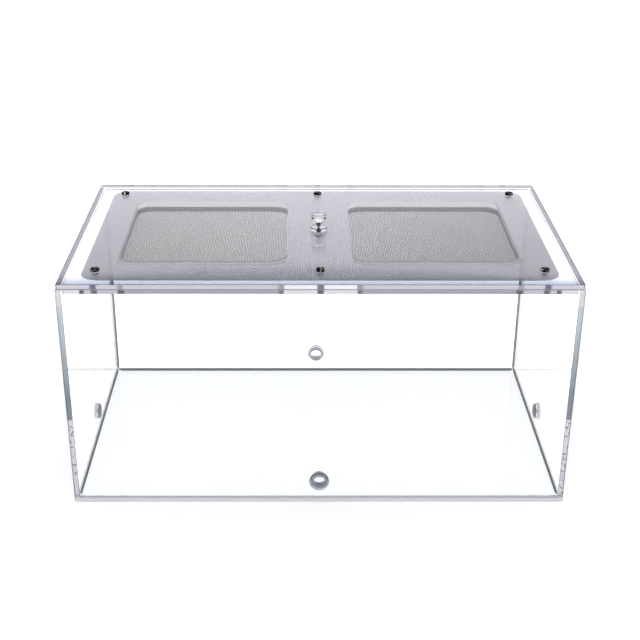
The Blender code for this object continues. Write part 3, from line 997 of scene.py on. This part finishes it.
class ANTFARM_OT_screws(bpy.types.Operator):
    """Make the pan-head screws with their cross recess and rolled thread"""

    bl_idname = "antfarm.screws"
    bl_label = "Screws"

    def execute(self, context):
        settings = context.scene.antfarm_metal
        materials = (
            plated_material(settings, "dark_plating", rubbed_glint_above=0.62, roughness=0.28,
                            polish=0.08),
            plated_material(settings, "scraped_recess_glint", rubbed_glint_above=0.42, roughness=0.35,
                            polish=0.15),
        )
        head_height = 0.0018
        length = SCREW_HIGH.z - SCREW_LOW.z - head_height
        pattern = self.screw(settings, "lid_screw", length, head_height, materials)
        for name in LID_SCREWS:
            low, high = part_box(name)
            place = ((low.x + high.x) / 2, (low.y + high.y) / 2, high.z - head_height)
            twin = copy_piece(pattern, name + "_threaded", place)
            self.dress(twin, name)
        bpy.data.objects.remove(pattern, do_unlink=True)
        length = KNOB_SCREW_HIGH.z - KNOB_SCREW_LOW.z - head_height
        under = self.screw(settings, "knob_screw_threaded", length, head_height, materials)
        under.rotation_euler = (math.pi, 0, 0)
        under.location = (0, 0, KNOB_SCREW_LOW.z + head_height)
        settle(under)
        self.dress(under, "knob_screw")
        return {"FINISHED"}

    def dress(self, screw, node):
        smooth(screw, 30)
        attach(screw, "lid")
        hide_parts(node)

    def screw(self, settings, name, length, head_height, materials):
        """Head above Z=0, threaded shank below it, with the recess cut into the crown."""
        head = 0.0027
        root = 0.00122
        crest = 0.00148
        profile = [
            (0.0006, -length), (root, -length + 0.0005), (root, -0.0004),
            (crest, -0.0002), (crest, 0.0),
            (0.96 * head, 0.0), (head, 0.12 * head_height),
            (0.995 * head, 0.30 * head_height), (0.97 * head, 0.50 * head_height),
            (0.91 * head, 0.68 * head_height), (0.80 * head, 0.83 * head_height),
            (0.62 * head, 0.93 * head_height), (0.38 * head, 0.98 * head_height),
            (0.10 * head, head_height),
        ]
        screw = turn_piece(name, profile, 40)
        combine(screw, self.recess(head_height), "DIFFERENCE")
        give_materials(screw, *materials)

        recess_reach = 0.0016
        recess_floor = 0.0003

        # Painted glints: the recess walls that face the front take the material with more bright
        # specks.
        def scraped_glint_faces(centre, normal):
            near_axis = math.hypot(centre.x, centre.y) < recess_reach
            inside = recess_floor < centre.z < 0.95 * head_height
            return normal.y < -0.2 and near_axis and inside

        fill_slot(screw, 1, scraped_glint_faces)
        thread = self.thread(settings, length, root, crest)
        give_materials(thread, materials[0])
        pick(thread, screw)
        bpy.ops.object.join()
        return bpy.context.object

    def recess(self, head_height):
        """Cross of two tapering slots."""
        span = 0.0030
        slit = 0.0007
        deep = 0.0024
        slots = []
        for size in ((span, slit), (slit, span)):
            clear_selection()
            bpy.ops.mesh.primitive_cube_add(size=1, location=(0, 0, head_height))
            slot = bpy.context.object
            slot.scale = (*size, deep)
            settle(slot)
            for vertex in slot.data.vertices:
                vertex.select = vertex.co.z < head_height
            for edge in slot.data.edges:
                edge.select = all(slot.data.vertices[i].select for i in edge.vertices)
            for polygon in slot.data.polygons:
                polygon.select = all(slot.data.vertices[i].select for i in polygon.vertices)
            bpy.ops.object.mode_set(mode="EDIT")
            bpy.ops.transform.resize(value=(0.45, 0.45, 1), center_override=(0, 0, 0))
            bpy.ops.object.mode_set(mode="OBJECT")
            slots.append(slot)
        first, second = slots
        combine(first, second, "UNION")
        return first

    def thread(self, settings, length, root, crest):
        """A three-sided ridge wound round the shank."""
        pitch = settings.thread_pitch
        clear_selection()
        bpy.ops.mesh.primitive_circle_add(vertices=3, radius=(crest - root) / 1.1,
                                          fill_type="NOTHING", rotation=(math.pi / 2, 0, 0))
        ridge = settle(bpy.context.object)
        ridge.location = (root + 0.00006, 0, -length + 0.0006)
        settle(ridge)
        turns = int((length - 0.0012) / pitch)
        wind = ridge.modifiers.new("wind", "SCREW")
        wind.angle = 2 * math.pi
        wind.screw_offset = pitch
        wind.iterations = turns
        wind.steps = 20
        wind.render_steps = 20
        apply_modifiers(ridge)
        edit_all(ridge)
        bpy.ops.mesh.fill_holes(sides=3)
        bpy.ops.mesh.normals_make_consistent(inside=False)
        bpy.ops.object.mode_set(mode="OBJECT")
        return ridge


class ANTFARM_OT_knob(bpy.types.Operator):
    """Turn the clear lifting knob, with the hole for its screw"""

    bl_idname = "antfarm.knob"
    bl_label = "Lifting knob"

    def execute(self, context):
        settings = context.scene.antfarm_acrylic
        height = KNOB_HIGH.z - KNOB_LOW.z
        base = 0.0053
        waist = 0.0024
        head = 0.0046
        crown = 0.38 * head
        hole = 0.0017
        depth = 0.0053
        tip = 0.0003
        foot_round = 0.0005
        top_round = 0.0013
        chin_round = 0.0006
        profile = [(tip, depth + 0.0004), (hole, depth), (hole, 0.0), (base - foot_round, 0.0)]
        profile += round_corner((base - foot_round, foot_round), foot_round, -60, 0, 3)
        profile += round_corner((base - top_round, 0.25 * height - top_round), top_round,
                                0, 78, 6)
        profile += self.waist_points(base, waist, head, height)
        profile += round_corner((head - chin_round, 0.60 * height + chin_round), chin_round,
                                -75, 0, 4)
        profile += round_corner((head - crown, height - crown), crown, 0, 84, 8)
        profile += [(0.5 * head, height), (tip, height)]
        knob = turn_piece("turned_knob", profile, 72)
        knob.location = (0, 0, KNOB_LOW.z)
        settle(knob)
        smooth(knob, 40)
        give_materials(knob, self.knob_material(settings))
        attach(knob, "lid")
        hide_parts("lid_knob")
        return {"FINISHED"}

    def knob_material(self, settings):
        """Clear rod, with the lathe's fine rings left round it."""
        tree, place = start_material("turned_acrylic")
        rings = tree.add("ShaderNodeTexWave", {"bands_direction": "Z"}, Vector=place,
                         Scale=900.0, Distortion=1.5, Detail=2.0)
        tint = Vector(settings.face_tint)
        colour = tree.mixed_colour(rings.outputs[0], tint, 0.97 * tint)
        roughness = 0.01 + tree.value(rings.outputs[0]) * 0.03
        return tree.finish(Base_Color=colour, Roughness=roughness, IOR=settings.refraction,
                           Transmission_Weight=1.0)

    def waist_points(self, base, waist, head, height):
        """The hollow between the foot and the head, from the foot up."""
        foot_top = 0.25 * height
        middle = 0.44 * height
        chin = 0.60 * height
        points = []
        for index in range(1, 20):
            level = foot_top + (chin - foot_top) * index / 20
            if level < middle:
                reach = (middle - level) / (middle - foot_top)
                outer = 0.875 * base
            else:
                reach = (level - middle) / (chin - middle)
                outer = 0.875 * head
            swell = 1 - math.sqrt(max(0.0, 1 - reach * reach))
            points.append((waist + (outer - waist) * swell, level))
        return points


class ANTFARM_OT_bushes(bpy.types.Operator):
    """Turn the four clear tube bushes in the walls"""

    bl_idname = "antfarm.bushes"
    bl_label = "Tube bushes"

    def execute(self, context):
        settings = context.scene.antfarm_acrylic
        shoulder = 0.0017
        face = shoulder + 0.00198
        end = shoulder + 0.0008
        bore = 0.0038
        neck = 0.0048
        flange = 0.0060
        lip = 0.0050
        bore_round = 0.0003
        flange_round = 0.0007
        lip_round = 0.0004
        rim_band = 0.0003
        profile = round_corner((bore + bore_round, face - bore_round), bore_round, 180, 90, 4)
        profile += round_corner((flange - flange_round, face - flange_round), flange_round,
                                90, 0, 6)
        profile += [(flange, shoulder), (neck, shoulder), (neck, -shoulder), (lip, -shoulder)]
        profile += round_corner((lip - lip_round, lip_round - end), lip_round, 0, -90, 6)
        profile += round_corner((bore + bore_round, bore_round - end), bore_round, -90, -180, 4)
        pattern = turn_piece("bush", profile, 72, closed=True)
        smooth(pattern, 40)

        # Painted shade: the rims, lips and bores take a darker tint for their dark outlines.
        def on_shaded_rims(centre, normal):
            radius = math.hypot(centre.x, centre.y)
            on_lip = centre.z < -shoulder
            return radius > flange - rim_band or radius < bore + rim_band or on_lip

        give_materials(pattern, self.bush_material("moulded_clear", settings.bush_tint),
                       self.bush_material("moulded_rims_painted_shade", settings.bush_rim_tint))
        fill_slot(pattern, 1, on_shaded_rims)
        for side, outward in SIDES.items():
            node = side + "_tube_bush"
            low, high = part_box(node)
            twin = copy_piece(pattern, node + "_turned", (0, 0, 0))
            turn = Vector((0, 0, 1)).rotation_difference(Vector(outward))
            twin.rotation_euler = turn.to_euler()
            twin.location = (low + high) / 2 - Vector(outward) * (face - end) / 2
            settle(twin)
            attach(twin, "box")
            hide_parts(node)
        bpy.data.objects.remove(pattern, do_unlink=True)
        return {"FINISHED"}

    def bush_material(self, name, tint):
        """Moulded plastic with faint flow marks."""
        tree, place = start_material(name)
        flow = tree.noise(place, 300.0, 3.0)
        colour = tree.mixed_colour(flow, Vector(tint), 0.9 * Vector(tint))
        roughness = 0.03 + (flow - 0.4).most(0.0) * 0.3
        return tree.finish(Base_Color=colour, Roughness=roughness, IOR=1.49,
                           Transmission_Weight=1.0)


class ANTFARM_PT_sidebar(bpy.types.Panel):
    """Lists the ant farm's pieces and sizes in the sidebar"""

    bl_idname = "ANTFARM_PT_sidebar"
    bl_label = "Ant farm"
    bl_space_type = "VIEW_3D"
    bl_region_type = "UI"
    bl_category = "Ant farm"

    def draw(self, context):
        layout = self.layout
        for operator in OPERATORS:
            layout.operator(operator.bl_idname)
        for group in GROUPS:
            settings = getattr(context.scene, group)
            for name in settings.bl_rna.properties.keys():
                if name not in ("rna_type", "name"):
                    layout.prop(settings, name)


OPERATORS = (ANTFARM_OT_stage, ANTFARM_OT_panels, ANTFARM_OT_beads, ANTFARM_OT_weave,
             ANTFARM_OT_screws, ANTFARM_OT_knob, ANTFARM_OT_bushes)
GROUPS = {"antfarm_acrylic": ANTFARM_PG_acrylic, "antfarm_metal": ANTFARM_PG_metal,
          "antfarm_stage": ANTFARM_PG_stage}
CLASSES = (*GROUPS.values(), *OPERATORS, ANTFARM_PT_sidebar)


def register():
    for item in CLASSES:
        bpy.utils.register_class(item)
    for name, group in GROUPS.items():
        setattr(bpy.types.Scene, name, bpy.props.PointerProperty(type=group))


def unregister():
    for name in GROUPS:
        delattr(bpy.types.Scene, name)
    for item in reversed(CLASSES):
        bpy.utils.unregister_class(item)


def main():
    """Build every piece."""
    register()
    bpy.ops.antfarm.stage()
    bpy.ops.antfarm.panels()
    bpy.ops.antfarm.beads()
    bpy.ops.antfarm.weave()
    bpy.ops.antfarm.screws()
    bpy.ops.antfarm.knob()
    bpy.ops.antfarm.bushes()


if __name__ == "__main__":
    main()
